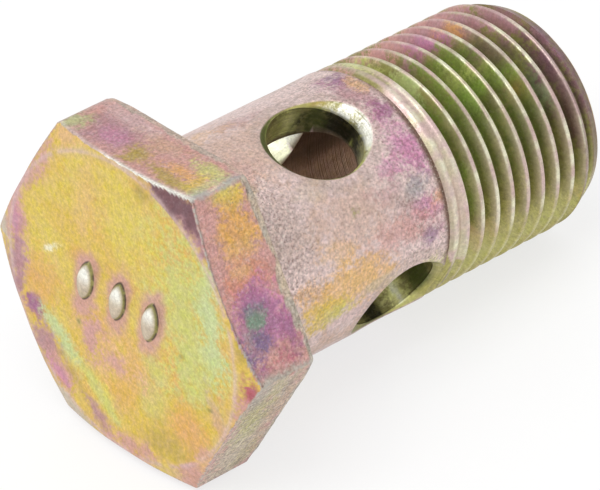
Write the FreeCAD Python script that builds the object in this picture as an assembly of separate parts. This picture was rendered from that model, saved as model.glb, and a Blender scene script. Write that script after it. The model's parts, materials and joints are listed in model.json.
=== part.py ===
# Hydraulic banjo bolt, lying as it comes to rest on a flat surface.
# One turned and drilled piece: a hexagon head, a plain shank for the ring of the
# fitting, a threaded end, a blind oil bore and two staggered cross drillings.
import FreeCAD, Part
import math
import os

# All lengths are in millimetres and all angles in degrees.
# Lengths along the bolt are measured from the seat, the face under the head.

# Head
across_flats = 24.0
head_height = 5.8
front_face_diameter = 23.9
front_chamfer_angle = 20.0
seat_fillet = 0.4

# Plain shank and the run-out neck behind it
shank_diameter = 18.0
shank_length = 16.7
neck_depth = 0.4
neck_width = 0.6
neck_taper_length = 0.6

# Thread, here as its blank of the major diameter, with a cone at the end that leads it in
thread_diameter = 17.85
length_under_head = 33.0
lead_length = 2.0
lead_depth = 0.9

# Oil bore, drilled from the threaded end
bore_diameter = 12.5
bore_depth = 28.0
drill_point_angle = 118.0
bore_mouth_chamfer = 0.5

# Cross drillings, each right through, with a countersink at both of its mouths
cross_diameter = 7.0
countersink_diameter = 8.8
countersink_angle = 90.0
near_cross_position = 10.4
far_cross_position = 13.6
near_cross_lean = 17.0
cross_turn = 103.0

# Room by which a cutting tool overshoots the metal
tool_overshoot = 2.0

# The most by which two edges in the same place may differ
same_place = 1e-6

AXIS = FreeCAD.Vector(1, 0, 0)
ORIGIN = FreeCAD.Vector(0, 0, 0)
FULL_TURN = 360.0
HEX_SIDES = 6


def turned(profile):
    """The solid that a closed outline of (along, radius) corners sweeps round the axis."""
    corners = [FreeCAD.Vector(along, 0, radius) for along, radius in profile]
    outline = Part.makePolygon(corners + corners[:1])
    return Part.Face(outline).revolve(ORIGIN, AXIS, FULL_TURN)


def hexagon_prism():
    """The six flats, one of them facing straight down."""
    corner_radius = across_flats / 2 / math.cos(math.pi / HEX_SIDES)
    corners = []
    for index in range(HEX_SIDES + 1):
        angle = 2 * math.pi * index / HEX_SIDES
        corners.append(
            FreeCAD.Vector(-head_height, corner_radius * math.cos(angle), corner_radius * math.sin(angle))
        )
    return Part.Face(Part.makePolygon(corners)).extrude(AXIS * head_height)


def head_blank():
    """The round blank of the head, whose front cone trims the six corners."""
    blank_radius = across_flats
    face_radius = front_face_diameter / 2
    cone_length = (blank_radius - face_radius) * math.tan(math.radians(front_chamfer_angle))
    return turned([
        (-head_height, 0),
        (-head_height, face_radius),
        (-head_height + cone_length, blank_radius),
        (cone_length, blank_radius),
        (cone_length, 0),
    ])


def hexagon_head():
    return hexagon_prism().common(head_blank())


def stem():
    """Everything under the head, turned in one: shank, neck, thread blank and lead cone."""
    shank_radius = shank_diameter / 2
    thread_radius = thread_diameter / 2
    neck_radius = shank_radius - neck_depth
    neck_start = shank_length + neck_taper_length
    neck_end = neck_start + neck_width
    thread_start = neck_end + thread_radius - neck_radius
    return turned([
        (-head_height / 2, 0),
        (-head_height / 2, shank_radius),
        (shank_length, shank_radius),
        (neck_start, neck_radius),
        (neck_end, neck_radius),
        (thread_start, thread_radius),
        (length_under_head - lead_length, thread_radius),
        (length_under_head, thread_radius - lead_depth),
        (length_under_head, 0),
    ])


def seat_edges(body):
    """The round corner where the shank leaves the seat."""
    shank_radius = shank_diameter / 2
    found = []
    for edge in body.Edges:
        on_seat = max(abs(edge.BoundBox.XMin), abs(edge.BoundBox.XMax)) < same_place
        if on_seat and isinstance(edge.Curve, Part.Circle):
            if abs(edge.Curve.Radius - shank_radius) < same_place:
                found.append(edge)
    return found


def oil_bore():
    """The blind bore with its drill point and the chamfer at its mouth."""
    radius = bore_diameter / 2
    bottom = length_under_head - bore_depth
    point_length = radius / math.tan(math.radians(drill_point_angle / 2))
    past_end = length_under_head + tool_overshoot
    return turned([
        (bottom - point_length, 0),
        (bottom, radius),
        (length_under_head - bore_mouth_chamfer, radius),
        (past_end, radius + bore_mouth_chamfer + tool_overshoot),
        (past_end, 0),
    ])


def cross_drilling(position, turn):
    """One drilling across the shank, with a countersink at each side, turned about the bolt."""
    drill_radius = cross_diameter / 2
    sink_radius = countersink_diameter / 2
    crown = shank_diameter / 2
    slope = math.tan(math.radians(countersink_angle / 2))
    sink_start = crown - (sink_radius - drill_radius) / slope
    reach = crown + tool_overshoot
    profile = [
        (-reach, 0),
        (-reach, sink_radius + tool_overshoot * slope),
        (-sink_start, drill_radius),
        (sink_start, drill_radius),
        (reach, sink_radius + tool_overshoot * slope),
        (reach, 0),
    ]
    tool = turned(profile)
    tool.rotate(ORIGIN, FreeCAD.Vector(0, 1, 0), -90)
    tool.rotate(ORIGIN, AXIS, turn)
    tool.translate(AXIS * position)
    return tool


def banjo_bolt():
    """The bolt along +X with its seat at the origin."""
    body = hexagon_head().fuse(stem()).removeSplitter()
    body = body.makeFillet(seat_fillet, seat_edges(body))
    body = body.cut(oil_bore())
    body = body.cut(cross_drilling(near_cross_position, near_cross_lean))
    body = body.cut(cross_drilling(far_cross_position, near_cross_lean + cross_turn))
    return body.Solids[0]


def laid_down(bolt):
    """Tips the bolt on to the edge of its lower flat and the last full turn of thread.

    The origin is then under the middle of the bolt, on the surface that it lies on.
    """
    drop = (across_flats - thread_diameter) / 2
    tip = math.degrees(math.atan2(drop, length_under_head - lead_length))
    bolt.rotate(ORIGIN, FreeCAD.Vector(0, 1, 0), tip)
    box = bolt.optimalBoundingBox(False, False)
    bolt.translate(FreeCAD.Vector(-box.Center.x, -box.Center.y, -box.ZMin))
    return bolt


os.makedirs("parts", exist_ok=True)
laid_down(banjo_bolt()).exportStep("parts/banjo_bolt.step")
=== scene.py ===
import json
import math

import bmesh
import bpy
import numpy as np
from mathutils import Matrix, Vector


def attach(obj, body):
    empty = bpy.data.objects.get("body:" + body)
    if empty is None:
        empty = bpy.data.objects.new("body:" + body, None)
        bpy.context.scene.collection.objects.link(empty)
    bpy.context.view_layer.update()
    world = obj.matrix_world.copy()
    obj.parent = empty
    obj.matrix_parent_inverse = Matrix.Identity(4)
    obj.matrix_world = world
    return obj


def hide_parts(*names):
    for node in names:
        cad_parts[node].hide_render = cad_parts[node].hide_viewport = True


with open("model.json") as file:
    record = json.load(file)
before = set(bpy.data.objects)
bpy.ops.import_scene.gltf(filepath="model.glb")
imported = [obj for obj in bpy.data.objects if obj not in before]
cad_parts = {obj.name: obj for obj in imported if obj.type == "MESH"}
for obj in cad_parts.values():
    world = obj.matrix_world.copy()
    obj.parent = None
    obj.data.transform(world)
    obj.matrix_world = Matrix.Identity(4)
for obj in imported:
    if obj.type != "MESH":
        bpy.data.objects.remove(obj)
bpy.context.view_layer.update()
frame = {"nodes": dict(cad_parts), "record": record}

# Everything below is worked out along the bolt: millimetres along its axis from the seat, the face
# under the head, millimetres out from the axis, and an angle about it. At angle 0 is the side that
# lies towards +Y, at 90 degrees the top.
MM = 0.001
FULL = 2 * math.pi
SIXTH = FULL / 6

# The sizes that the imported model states
mounts = {m["name"]: m for m in frame["record"]["mounts"]}
bolt_axis = Vector(mounts["thread"]["axis"]).normalized()
axis_point = Vector(mounts["thread"]["pos_m"])
seat_centre = axis_point + bolt_axis * (Vector(mounts["seat"]["pos_m"]) - axis_point).dot(bolt_axis)
side_axis = Vector((0, 1, 0))
top_axis = bolt_axis.cross(side_axis)
AXES = np.array([bolt_axis, side_axis, top_axis])
THREAD_RADIUS = mounts["thread"]["dims"]["r_mm"]
BORE_RADIUS = mounts["oil_bore"]["dims"]["r_mm"]
BORE_LENGTH = mounts["oil_bore"]["dims"]["length_mm"]
CROSS_RADIUS = mounts["near_cross_drilling"]["dims"]["r_mm"]


def along(point):
    """How far along the bolt a point of the frame is, in millimetres from the seat."""
    return (Vector(point) - seat_centre).dot(bolt_axis) / MM


def out_from_axis(point):
    """How far a point of the frame is from the bolt's axis, in millimetres."""
    offset = Vector(point) - seat_centre
    return (offset - bolt_axis * offset.dot(bolt_axis)).length / MM


cad_points = [v.co for v in frame["nodes"]["banjo_bolt"].data.vertices]
HEAD_HEIGHT = -min(along(p) for p in cad_points)
LENGTH = max(along(p) for p in cad_points)
BORE_BOTTOM = along(mounts["oil_bore"]["pos_m"]) - BORE_LENGTH / 2
BORE_MOUTH = BORE_BOTTOM + BORE_LENGTH
CORNER_RADIUS = max(out_from_axis(p) for p in cad_points)
HALF_FLATS = CORNER_RADIUS * math.cos(SIXTH / 2)

# The sizes from here on are those that the frame doesn't state, in millimetres.
# Head, with the rounding between its flats and the front chamfer and the wear of the face's rim
FACE_INSET = 0.05
FACE_RADIUS = HALF_FLATS - FACE_INSET
CHAMFER_SLOPE = math.tan(math.radians(20))
CHAMFER_BLEND = 0.12
RIM_WEAR = 0.10
RIM_WEAR_SPREAD = 0.16
SEAT_EDGE = 0.06
SEAT_FILLET = 0.4

# The radius that each of the head's six upright edges is worn to, from 0 degrees on
CORNER_WEAR = (0.25, 0.5, 0.6, 0.4, 0.35, 0.3)

# The ragged strip that trimming left along the back of the flats, the wear along the seat's edge, and
# how far in from the corners of the head they are torn
STRIP_WIDTH = 0.55
STRIP_STEP = 0.05
STRIP_DEPTH = 0.02
STRIP_DEPTH_SPREAD = 0.07
SEAT_WEAR = 0.14
SEAT_WEAR_REACH = 0.18
TORN_CORNER = 0.3
TORN_CORNER_REACH = 1.0

# Plain raised pads on the front face, all of one shape, standing side by side. The profile runs from
# the root inside the head up over the crown, as (share of the outline, height over the face).
PAD_LENGTH = 3.4
PAD_WIDTH = 1.5
PAD_TILT = math.radians(14)
PAD_POINTEDNESS = 1.4
PAD_PROFILE = (
    (1.14, -0.3), (1.14, 0.0), (1.04, 0.06), (0.95, 0.2),
    (0.86, 0.32), (0.7, 0.4), (0.45, 0.44), (0.2, 0.45),
)
PAD_HEIGHT = PAD_PROFILE[-1][1]
PAD_PLACES = ((3.6, 0.7), (0.2, 0.6), (-3.2, 0.5))

# Shank and the neck in front of the thread, with the small edges at both ends of it
SHANK_RADIUS = 9.0
SHANK_WEAR = 0.02
SHANK_END = 17.1
SHANK_END_EDGE = 0.06
NECK_RADIUS = 8.65
NECK_START = 17.3
NECK_END = 17.6
NECK_CORNER = 0.05
NECK_CORNER_RISE = 0.03

# Thread. The half width of a crest, its spread, and the feet of the flank and of the rounded groove are
# shares of the pitch. The run-out is measured from the neck, and a crest passes the top at CREST_AT_TOP.
PITCH = 1.5
THREAD_DEPTH = 0.92
CREST_AT_TOP = 30.8
CREST_SHARE = 0.065
CREST_SPREAD = 0.03
CREST_WEAR = 0.03
FLANK_FOOT = 0.385
GROOVE_FOOT = 0.40
FLANK_PART = 0.72
GROOVE_PART = 0.28
RUN_OUT_FROM = 0.35
RUN_OUT_TO = 2.3
RUN_OUT_SLOPE = 0.9
LEAD_LENGTH = 2.0
LEAD_DEPTH = 0.9
RUN_OUT_BLEND = 0.08
LEAD_BLEND = 0.06

# Bore and cross drillings, with the rounded lips of their mouths
MOUTH_CHAMFER = 0.5
END_EDGE = 0.12
DRILL_POINT = math.radians(59)
SINK_RADIUS = 4.4
SINK_SLOPE = math.tan(math.radians(45))
LIP = 0.12
LIP_FULLNESS = 1.2

# The tools of the cross drillings: how far out they reach, how far they flare outside the shank, the
# level inside the bore where the rows of their walls begin, the width of countersink that has a full
# lip, its least depth, how far the lip dips under the shank, and the steps that find the rim
TOOL_REACH = SHANK_RADIUS + 2.5
TOOL_FLARE = 1.2
TOOL_CORE = 4.2
FULL_LIP_WIDTH = 0.3
SINK_LEAST = 0.05
LIP_DIP = 0.004
RIM_STEPS = 40

# Where the rows of the mesh lie: how far behind the front face over the chamfer and along the flats,
# how far across the seat as shares of its width, and in each turn of the thread as shares of the pitch
FRONT_ROWS = (
    0, 0.01, 0.03, 0.06, 0.1, 0.15, 0.2, 0.26, 0.32, 0.38, 0.44, 0.5, 0.56, 0.62, 0.68, 0.74, 0.82, 0.95,
)
FLAT_ROWS = (
    1.2, 1.6, 2.0, 2.4, 2.8, 3.2, 3.6, 4.0, 4.4, 4.7, 4.85,
    4.97, 5.08, 5.19, 5.3, 5.41, 5.52, 5.61, 5.68, 5.74, 5.78,
)
SEAT_ROWS = (0.03, 0.12, 0.3, 0.5, 0.7, 0.85, 0.95)
TURN_ROWS = (0.0, 0.055, 0.09, 0.13, 0.2, 0.3, 0.4, 0.5, 0.6, 0.7, 0.8, 0.87, 0.91, 0.945)
FACE_RING_STEP = 0.4
SHANK_ROWS = 46
BORE_ROWS = 14

# Where its columns lie, in degrees: evenly round, and closer together at the corners of the head
COLUMN_STEP = 1.5
CORNER_COLUMNS = (0.3, 0.65, 1.05)
TOOL_COLUMNS = 120
PAD_COLUMNS = 48

# Edges that turn by more than this look sharp.
SHARP_ANGLE = math.radians(38)


def smooth(low, high, value):
    """0 below low, 1 above high and an even curve between them."""
    t = np.clip((value - low) / (high - low), 0, 1)
    return t * t * (3 - 2 * t)


def soft_min(a, b, width):
    """The lesser of two values, with a rounded change from one to the other."""
    h = np.clip(0.5 + 0.5 * (b - a) / width, 0, 1)
    return b * (1 - h) + a * h - width * h * (1 - h)


def lattice(x, y, z, seed):
    """A fixed random number from 0 to 1 for each point of a whole-number grid.

    Large odd factors scramble the three coordinates and the seed.
    """
    h = (x * 73856093) ^ (y * 19349663) ^ (z * 83492791) ^ (seed * 26544357)
    h = ((h ^ (h >> 13)) * 1274126177) & 0xFFFFFFFF
    return ((h ^ (h >> 16)) & 0xFFFF) / 65535.0


def cloud(points, size, seed, octaves=3):
    """Soft random blotches of about the given size, from 0 to 1, at each point."""
    total = np.zeros(len(points))
    weight_sum, weight = 0.0, 1.0
    for octave in range(octaves):
        scaled = points / size * 2 ** octave + 100.0
        cell = np.floor(scaled).astype(np.int64)
        part = scaled - cell
        part = part * part * (3 - 2 * part)
        value = np.zeros(len(points))
        for corner in range(8):
            step = np.array([corner & 1, corner >> 1 & 1, corner >> 2 & 1])
            share = np.prod(np.where(step == 1, part, 1 - part), axis=1)
            at = cell + step
            value += share * lattice(at[:, 0], at[:, 1], at[:, 2], seed + octave)
        total += weight * value
        weight_sum += weight
        weight *= 0.5
    return total / weight_sum


def grid_points(x, radius, angle):
    """Points in bolt millimetres as (along, towards the side, up)."""
    return np.stack(np.broadcast_arrays(x, radius * np.cos(angle), radius * np.sin(angle)), axis=-1)


def to_frame(points):
    """Bolt millimetres to metres in the frame."""
    return points @ AXES * MM + np.array(seat_centre)


def from_frame(points):
    """Metres in the frame to bolt millimetres."""
    return (points - np.array(seat_centre)) @ AXES.T / MM


def column_angles():
    """The angles of the columns that the turned grid has."""
    angles = set(round(math.radians(COLUMN_STEP * i), 9) for i in range(int(360 / COLUMN_STEP)))
    for corner in range(6):
        for offset in CORNER_COLUMNS:
            for side in (-1, 1):
                angles.add(round(math.radians(60 * corner + side * offset) % FULL, 9))
    return np.array(sorted(angles))


ANGLES = column_angles()
COLUMNS = len(ANGLES)


def hexagon_radius(angle):
    """The distance from the axis to the flats, with the upright edges rounded by wear."""
    corner = np.round(angle / SIXTH)
    off = angle - corner * SIXTH
    rounding = np.array(CORNER_WEAR)[corner.astype(int) % 6]
    flat = HALF_FLATS / np.cos(SIXTH / 2 - np.abs(off))
    centre = (HALF_FLATS - rounding) / math.cos(SIXTH / 2)
    inside = np.maximum(rounding ** 2 - (centre * np.sin(off)) ** 2, 0)
    worn = centre * np.cos(off) + np.sqrt(inside)
    tangent = np.arctan2(rounding * 0.5, centre + rounding * math.cos(SIXTH / 2))
    return np.where(np.abs(off) < tangent, worn, flat)


def strip_start(points):
    """Where along the bolt the ragged strip at the back of the flats begins, near each point."""
    coarse = cloud(points, 1.3, seed=21) - 0.5
    fine = cloud(points, 0.4, seed=23) - 0.5
    return -STRIP_WIDTH + 1.0 * coarse + 0.4 * fine


def trimmed_off(x, spots):
    """How much the strip, the worn edge of the seat and the torn corners take off the flats."""
    start = strip_start(spots)
    strip = smooth(start - STRIP_STEP, start + STRIP_STEP, x)
    torn = STRIP_DEPTH + STRIP_DEPTH_SPREAD * cloud(spots, 0.7, seed=31)
    rim = SEAT_WEAR * np.clip(x / SEAT_WEAR_REACH + 1, 0, 1) ** 2
    at_corner = smooth(HALF_FLATS + TORN_CORNER_REACH, CORNER_RADIUS, np.hypot(spots[:, 1], spots[:, 2]))
    corner = TORN_CORNER * at_corner * np.clip(x / STRIP_WIDTH + 1, 0, 1) ** 2
    return strip * torn + rim + corner


def head_rows():
    """From the middle of the front face out, over the chamfer, along the flats and in to the seat."""
    rows = []
    for radius in np.arange(FACE_RING_STEP, FACE_RADIUS - FACE_RING_STEP / 2, FACE_RING_STEP):
        rows.append((-HEAD_HEIGHT, radius))
    hexagon = hexagon_radius(ANGLES)
    rim = grid_points(-HEAD_HEIGHT, FACE_RADIUS, ANGLES)
    edge = RIM_WEAR + RIM_WEAR_SPREAD * cloud(rim, 1.6, seed=11)
    for depth in FRONT_ROWS + FLAT_ROWS:
        x = depth - HEAD_HEIGHT
        radius = soft_min(hexagon, FACE_RADIUS + depth / CHAMFER_SLOPE, CHAMFER_BLEND)
        inside = np.clip(1 - depth / edge, 0, 1)
        radius = radius - edge * (1 - np.sqrt(np.maximum(1 - inside ** 2, 0)))
        radius = radius - trimmed_off(x, grid_points(x, radius, ANGLES))
        rows.append((x, radius))
    back = radius - SEAT_EDGE
    for share in SEAT_ROWS:
        rows.append((0, back - share * (back - SHANK_RADIUS - SEAT_FILLET)))
    return rows


def stem_rows():
    """From the seat along the shank to the neck in front of the thread."""
    rows = []
    for turn in np.radians((0, 22.5, 45, 67.5)):
        x = SEAT_FILLET * (1 - math.cos(turn))
        rows.append((x, SHANK_RADIUS + SEAT_FILLET * (1 - math.sin(turn))))
    for x in np.linspace(SEAT_FILLET, SHANK_END, SHANK_ROWS):
        spots = grid_points(x, SHANK_RADIUS, ANGLES)
        rows.append((x, SHANK_RADIUS - SHANK_WEAR * cloud(spots, 2.5, seed=41)))
    return rows + [
        (SHANK_END + SHANK_END_EDGE, SHANK_RADIUS - SHANK_END_EDGE),
        (NECK_START, NECK_RADIUS + NECK_CORNER_RISE),
        (NECK_START + NECK_CORNER, NECK_RADIUS),
        (NECK_END - NECK_CORNER, NECK_RADIUS),
    ]


def thread_radius(x, angle):
    """The turned height of the thread at each point, a right-hand helix of 60 degree flanks."""
    phase = ((x - CREST_AT_TOP) / PITCH - (angle - math.pi / 2) / FULL) % 1.0
    off = np.abs(phase - np.round(phase))
    wear = cloud(grid_points(x, THREAD_RADIUS, angle), 1.8, seed=51)
    crest = CREST_SHARE + CREST_SPREAD * wear
    groove = smooth(crest, GROOVE_FOOT, off)
    flank = np.clip((off - crest) / (FLANK_FOOT - crest), 0, 1)
    depth = THREAD_DEPTH * (FLANK_PART * flank + GROOVE_PART * groove) + CREST_WEAR * wear
    grown = smooth(NECK_END + RUN_OUT_FROM, NECK_END + RUN_OUT_TO, x)
    radius = THREAD_RADIUS - depth * grown
    start = NECK_RADIUS + (x - NECK_END) * RUN_OUT_SLOPE
    return soft_min(soft_min(radius, start, RUN_OUT_BLEND), lead_radius(x), LEAD_BLEND)


def lead_radius(x):
    """The cone that leads the thread in at its end."""
    return THREAD_RADIUS - LEAD_DEPTH * (x - LENGTH + LEAD_LENGTH) / LEAD_LENGTH


def helix_rows():
    """Where the thread's rows lie along the bolt. They climb one pitch for each time round."""
    rows = []
    turns = math.ceil((LENGTH - NECK_END) / PITCH) + 3
    first = CREST_AT_TOP - PITCH * math.ceil((CREST_AT_TOP - NECK_END) / PITCH + 1)
    climb = (ANGLES - math.pi / 2) / FULL
    for turn in range(turns):
        for share in TURN_ROWS:
            x = first + PITCH * (turn + share + climb)
            rows.append(np.clip(x, NECK_END, LENGTH))
    return rows


def bore_rows():
    """The end face, then back down the bore to the drill point."""
    mouth = BORE_RADIUS + MOUTH_CHAMFER
    rows = [(LENGTH, radius) for radius in np.linspace(THREAD_RADIUS - LEAD_DEPTH - END_EDGE, mouth, 4)]
    rows.append(((LENGTH + BORE_MOUTH) / 2, BORE_RADIUS + MOUTH_CHAMFER / 2))
    rows += [(x, BORE_RADIUS) for x in np.linspace(BORE_MOUTH, BORE_BOTTOM, BORE_ROWS)]
    for share in (0.8, 0.6, 0.4, 0.2, 0.08):
        x = BORE_BOTTOM - BORE_RADIUS * (1 - share) / math.tan(DRILL_POINT)
        rows.append((x, BORE_RADIUS * share))
    return rows


def new_material(name):
    """A material with its node tree and the main shader in it."""
    material = bpy.data.materials.new(name)
    material.use_nodes = True
    return material, material.node_tree, material.node_tree.nodes["Principled BSDF"]


def new_object(name, points, faces):
    """A mesh object of points in the frame."""
    mesh = bpy.data.meshes.new(name)
    mesh.from_pydata([tuple(p) for p in points], [], faces)
    mesh.update()
    obj = bpy.data.objects.new(name, mesh)
    bpy.context.scene.collection.objects.link(obj)
    return obj


def closed_object(name, points, faces, merge=None):
    """An object of groups of points in bolt millimetres, whose faces all look outward.

    Points that are nearer to each other than the merge distance, in metres, become one.
    """
    obj = new_object(name, to_frame(np.concatenate(points)), faces)
    mesh = bmesh.new()
    mesh.from_mesh(obj.data)
    if merge:
        bmesh.ops.remove_doubles(mesh, verts=mesh.verts, dist=merge)
        bmesh.ops.dissolve_degenerate(mesh, edges=mesh.edges, dist=merge / 2)
    bmesh.ops.recalc_face_normals(mesh, faces=mesh.faces)
    mesh.to_mesh(obj.data)
    mesh.free()
    return obj


def ring_faces(first, second, count):
    """Faces between two rings of points, given where each ring starts."""
    faces = []
    for j in range(count):
        k = (j + 1) % count
        faces.append((first + j, first + k, second + k, second + j))
    return faces


def tube_faces(start, rings, count):
    """Faces of a row of rings, each joined to the one before it."""
    faces = []
    for ring in range(start + count, start + rings * count, count):
        faces += ring_faces(ring, ring - count, count)
    return faces


def fan_faces(pole, ring, count, flip):
    """Faces between one point and a ring of points."""
    faces = []
    for j in range(count):
        k = (j + 1) % count
        faces.append((pole, ring + k, ring + j) if flip else (pole, ring + j, ring + k))
    return faces


def helix_faces(start, count):
    """Faces of the threaded stretch. Its last column meets the first one a whole turn further on."""
    faces = []
    per_turn = len(TURN_ROWS)
    for k in range(count - 1):
        for j in range(COLUMNS - 1):
            a = start + k * COLUMNS + j
            faces.append((a + COLUMNS, a + COLUMNS + 1, a + 1, a))
        if k + 1 + per_turn < count:
            a = start + k * COLUMNS + COLUMNS - 1
            b = start + (k + per_turn) * COLUMNS
            faces.append((a + COLUMNS, b + COLUMNS, b, a))
    return faces


def turned_body():
    """The whole bolt without its cross drillings, as one closed mesh."""
    front = head_rows() + stem_rows() + [(NECK_END, thread_radius(NECK_END, ANGLES))]
    helix = [(x, thread_radius(x, ANGLES)) for x in helix_rows()]
    end = [(LENGTH, thread_radius(LENGTH, ANGLES))] + bore_rows()
    drill_tip = BORE_BOTTOM - BORE_RADIUS / math.tan(DRILL_POINT)
    points = [np.array([[-HEAD_HEIGHT, 0, 0]])]
    points += [grid_points(x, radius, ANGLES) for x, radius in front + helix + end]
    points.append(np.array([[drill_tip, 0, 0]]))

    helix_start = 1 + len(front) * COLUMNS
    end_start = helix_start + len(helix) * COLUMNS
    tip = end_start + len(end) * COLUMNS
    faces = fan_faces(0, 1, COLUMNS, True)
    faces += tube_faces(1, len(front), COLUMNS)
    faces += helix_faces(helix_start, len(helix))
    faces += tube_faces(end_start, len(end), COLUMNS)
    faces += fan_faces(tip, tip - COLUMNS, COLUMNS, False)
    return closed_object("bolt_body", points, faces, merge=2e-7)


def drilling_frame(mount):
    """Where the drilling crosses the axis, its own direction, and the direction across it."""
    centre = along(mount["pos_m"])
    direction = Vector(mount["axis"])
    up = np.array([0, direction.dot(side_axis), direction.dot(top_axis)])
    up = up / np.linalg.norm(up)
    across = np.array([0, -up[2], up[1]])
    return centre, up, across


def shank_level(radius, turn):
    """How far along a drilling the shank's surface is, at a distance and a turn about its axis."""
    return np.sqrt(SHANK_RADIUS ** 2 - (radius * np.sin(turn)) ** 2)


def sink_rim(turn, sink_start):
    """How far from the drilling's axis the cone of its countersink meets the round of the shank."""
    rim = np.full(len(turn), SINK_RADIUS)
    for _ in range(RIM_STEPS):
        cone = CROSS_RADIUS + (shank_level(rim, turn) - sink_start) * SINK_SLOPE
        rim = 0.5 * rim + 0.5 * np.maximum(CROSS_RADIUS, cone)
    return rim


def tool_profile(turn):
    """Half of a cross drilling's tool from its end inwards, as (distance from its axis, level) rings."""
    sink_start = SHANK_RADIUS - (SINK_RADIUS - CROSS_RADIUS) / SINK_SLOPE
    rim = sink_rim(turn, sink_start)
    level = shank_level(rim, turn)
    sinking = np.clip((rim - CROSS_RADIUS) / FULL_LIP_WIDTH, 0, 1)
    inner = rim - LIP * sinking
    inner_level = level - LIP * (sinking / SINK_SLOPE + (1 - sinking))
    outer = rim + LIP
    outer_level = shank_level(outer, turn) - LIP_DIP
    middle = (inner + outer + LIP_FULLNESS * rim) / (2 + LIP_FULLNESS)
    middle_level = (inner_level + outer_level + LIP_FULLNESS * level) / (2 + LIP_FULLNESS)
    rings = [(outer + TOOL_FLARE, np.full(len(turn), TOOL_REACH))]
    rings += [(outer, outer_level), (middle, middle_level), (inner, inner_level)]
    base = np.minimum(sink_start, inner_level - SINK_LEAST)
    for share in (0.5, 0.0):
        rings.append((CROSS_RADIUS + (inner - CROSS_RADIUS) * share, base + (inner_level - base) * share))
    for share in (0.8, 0.6, 0.4, 0.2):
        rings.append((np.full(len(turn), CROSS_RADIUS), TOOL_CORE + (base - TOOL_CORE) * share))
    return rings


def drilling_tool(mount):
    """The tool of one cross drilling, with a countersink at both ends."""
    centre, up, across = drilling_frame(mount)
    turn = np.arange(TOOL_COLUMNS) * FULL / TOOL_COLUMNS
    half = tool_profile(turn)
    rings = half + [(radius, -level) for radius, level in half[::-1]]
    middle = np.array([[centre, 0, 0]])
    points = [middle + TOOL_REACH * up]
    for radius, level in rings:
        ahead = np.array([1, 0, 0]) * (radius * np.cos(turn))[:, None]
        aside = across * (radius * np.sin(turn))[:, None]
        points.append(middle + ahead + aside + up * level[:, None])
    points.append(middle - TOOL_REACH * up)
    far_end = 1 + len(rings) * TOOL_COLUMNS
    faces = fan_faces(0, 1, TOOL_COLUMNS, False)
    faces += tube_faces(1, len(rings), TOOL_COLUMNS)
    faces += fan_faces(far_end, far_end - TOOL_COLUMNS, TOOL_COLUMNS, True)
    return closed_object("cutter", points, faces)


def raised_pad(side, up):
    """A forged pad with pointed ends and a crowned top, rooted a little way inside the front face."""
    turn = np.arange(PAD_COLUMNS) * FULL / PAD_COLUMNS
    along_pad = np.cos(turn) * PAD_LENGTH / 2
    across_pad = np.sign(np.sin(turn)) * np.abs(np.sin(turn)) ** PAD_POINTEDNESS * PAD_WIDTH / 2
    sideways = across_pad * math.cos(PAD_TILT) - along_pad * math.sin(PAD_TILT)
    upwards = across_pad * math.sin(PAD_TILT) + along_pad * math.cos(PAD_TILT)
    points, faces = [], []
    for index, (share, height) in enumerate(PAD_PROFILE):
        x = np.full(PAD_COLUMNS, -HEAD_HEIGHT - height)
        points.append(np.stack([x, side + share * sideways, up + share * upwards], axis=-1))
        if index:
            start = index * PAD_COLUMNS
            faces += ring_faces(start - PAD_COLUMNS, start, PAD_COLUMNS)
    faces.append(tuple(range(PAD_COLUMNS)))
    faces.append(tuple(range((len(PAD_PROFILE) - 1) * PAD_COLUMNS, len(PAD_PROFILE) * PAD_COLUMNS)))
    return closed_object("pad", points, faces)


def combine(body, other, operation):
    """Adds the other object's shape to the body, or takes it out, for good."""
    modifier = body.modifiers.new("combine", "BOOLEAN")
    modifier.operation = operation
    modifier.solver = "EXACT"
    modifier.object = other
    graph = bpy.context.evaluated_depsgraph_get()
    result = bpy.data.meshes.new_from_object(body.evaluated_get(graph))
    body.modifiers.clear()
    old = body.data
    body.data = result
    bpy.data.meshes.remove(old)
    bpy.data.objects.remove(other)


bolt = turned_body()
for label in ("near_cross_drilling", "far_cross_drilling"):
    combine(bolt, drilling_tool(mounts[label]), "DIFFERENCE")
for place in PAD_PLACES:
    combine(bolt, raised_pad(*place), "UNION")
bolt.data.name = "bolt_body"
for polygon in bolt.data.polygons:
    polygon.use_smooth = True
bolt.data.set_sharp_from_angle(angle=SHARP_ANGLE)
print("bolt triangles", sum(len(p.vertices) - 2 for p in bolt.data.polygons))

# Camera, as the photograph was taken: a long lens, looking down on the bolt from the head's side
VIEW_HEADING = math.radians(50.63)
VIEW_ELEVATION = math.radians(37.07)
VIEW_ROLL = math.radians(-5.59)
VIEW_DISTANCE = 0.39146
VIEW_TARGET = Vector((-0.0029, -0.00046, 0.00909))
VIEW_LENS = 330.0
VIEW_SENSOR = 36.0
VIEW_NEAREST = 0.01


def make_camera():
    """The camera of the photograph, set by its heading, elevation and roll."""
    forward = Vector((
        math.cos(VIEW_ELEVATION) * math.cos(VIEW_HEADING),
        math.cos(VIEW_ELEVATION) * math.sin(VIEW_HEADING),
        -math.sin(VIEW_ELEVATION),
    ))
    level = forward.cross(Vector((0, 0, 1))).normalized()
    upright = level.cross(forward)
    right = level * math.cos(VIEW_ROLL) + upright * math.sin(VIEW_ROLL)
    up = right.cross(forward)
    data = bpy.data.cameras.new("view")
    data.lens = VIEW_LENS
    data.sensor_width = VIEW_SENSOR
    data.clip_start = VIEW_NEAREST
    camera = bpy.data.objects.new("view", data)
    turn = Matrix((right, up, -forward)).transposed().to_4x4()
    camera.matrix_world = Matrix.Translation(VIEW_TARGET - forward * VIEW_DISTANCE) @ turn
    bpy.context.scene.collection.objects.link(camera)
    bpy.context.scene.camera = camera


make_camera()

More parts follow.
